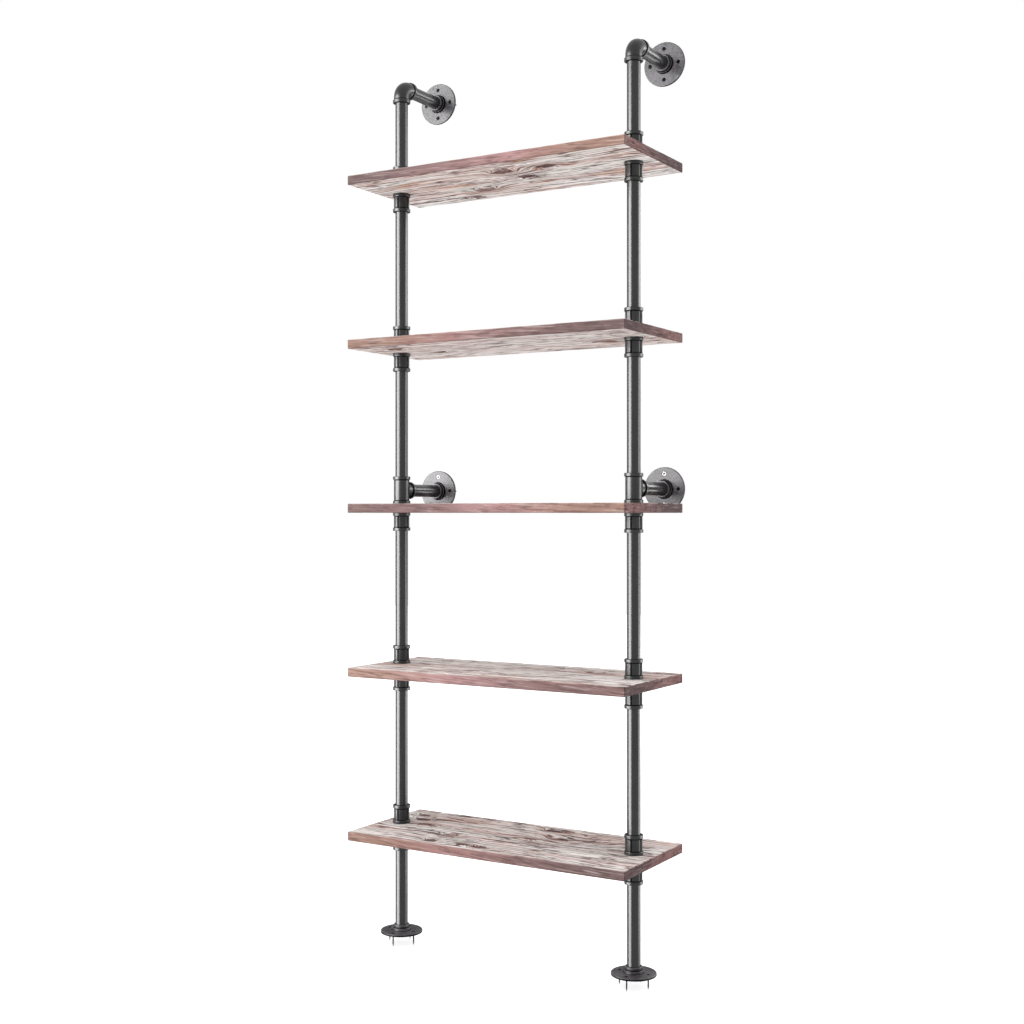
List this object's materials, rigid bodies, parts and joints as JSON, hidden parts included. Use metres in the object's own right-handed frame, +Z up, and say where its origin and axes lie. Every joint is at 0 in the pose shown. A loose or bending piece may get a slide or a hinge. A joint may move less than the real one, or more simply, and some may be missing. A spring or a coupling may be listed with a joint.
{
  "type": "pipe shelving unit",
  "caption": "Tall open shelving unit: rustic wooden boards clamped between couplings on black iron pipe uprights, with floor flanges and pipe arms back to wall flanges.",
  "frame": {"origin": "on the floor plane (the underside of the floor flanges), midway between the two upright axes", "axes": "+X along the boards to the right as seen from the room, +Y back to the wall, +Z up; the front faces -Y"},
  "size_m": [0.64, 0.298, 1.87],
  "materials": {
    "board_wood": "weathered whitewashed grain on the faces, reddish brown stain on the edges",
    "pipe_paint": "satin charcoal coating on steel pipe",
    "fitting_paint": "satin charcoal coating on malleable cast iron",
    "flange_paint": "satin charcoal coating over a fine cast texture",
    "screw_black": "black phosphate"
  },
  "bodies": {
    "root": {"shelf_1": "board_wood", "shelf_2": "board_wood", "shelf_3": "board_wood", "shelf_4": "board_wood", "shelf_5": "board_wood", "shelf_1_nipples": "pipe_paint", "shelf_2_nipples": "pipe_paint", "shelf_3_nipples": "pipe_paint", "shelf_4_nipples": "pipe_paint", "shelf_5_nipples": "pipe_paint", "left_bottom_pipe": "pipe_paint", "left_pipe_shelf_1_to_2": "pipe_paint", "left_pipe_shelf_2_to_3": "pipe_paint", "left_pipe_shelf_3_to_4": "pipe_paint", "left_pipe_shelf_4_to_5": "pipe_paint", "left_top_pipe": "pipe_paint", "left_mid_wall_pipe": "pipe_paint", "left_top_wall_pipe": "pipe_paint", "right_bottom_pipe": "pipe_paint", "right_pipe_shelf_1_to_2": "pipe_paint", "right_pipe_shelf_2_to_3": "pipe_paint", "right_pipe_shelf_3_to_4": "pipe_paint", "right_pipe_shelf_4_to_5": "pipe_paint", "right_top_pipe": "pipe_paint", "right_mid_wall_pipe": "pipe_paint", "right_top_wall_pipe": "pipe_paint", "left_coupling_under_shelf_1": "fitting_paint", "left_coupling_under_shelf_2": "fitting_paint", "left_coupling_under_shelf_3": "fitting_paint", "left_coupling_under_shelf_4": "fitting_paint", "left_coupling_under_shelf_5": "fitting_paint", "left_coupling_above_shelf_1": "fitting_paint", "left_coupling_above_shelf_2": "fitting_paint", "left_coupling_above_shelf_4": "fitting_paint", "left_coupling_above_shelf_5": "fitting_paint", "left_tee_above_shelf_3": "fitting_paint", "left_top_elbow": "fitting_paint", "right_coupling_under_shelf_1": "fitting_paint", "right_coupling_under_shelf_2": "fitting_paint", "right_coupling_under_shelf_3": "fitting_paint", "right_coupling_under_shelf_4": "fitting_paint", "right_coupling_under_shelf_5": "fitting_paint", "right_coupling_above_shelf_1": "fitting_paint", "right_coupling_above_shelf_2": "fitting_paint", "right_coupling_above_shelf_4": "fitting_paint", "right_coupling_above_shelf_5": "fitting_paint", "right_tee_above_shelf_3": "fitting_paint", "right_top_elbow": "fitting_paint", "left_floor_flange": "flange_paint", "left_mid_wall_flange": "flange_paint", "left_top_wall_flange": "flange_paint", "right_floor_flange": "flange_paint", "right_mid_wall_flange": "flange_paint", "right_top_wall_flange": "flange_paint", "left_floor_screws": "screw_black", "left_mid_wall_screws": "screw_black", "left_top_wall_screws": "screw_black", "right_floor_screws": "screw_black", "right_mid_wall_screws": "screw_black", "right_top_wall_screws": "screw_black"}
  },
  "joints": []
}
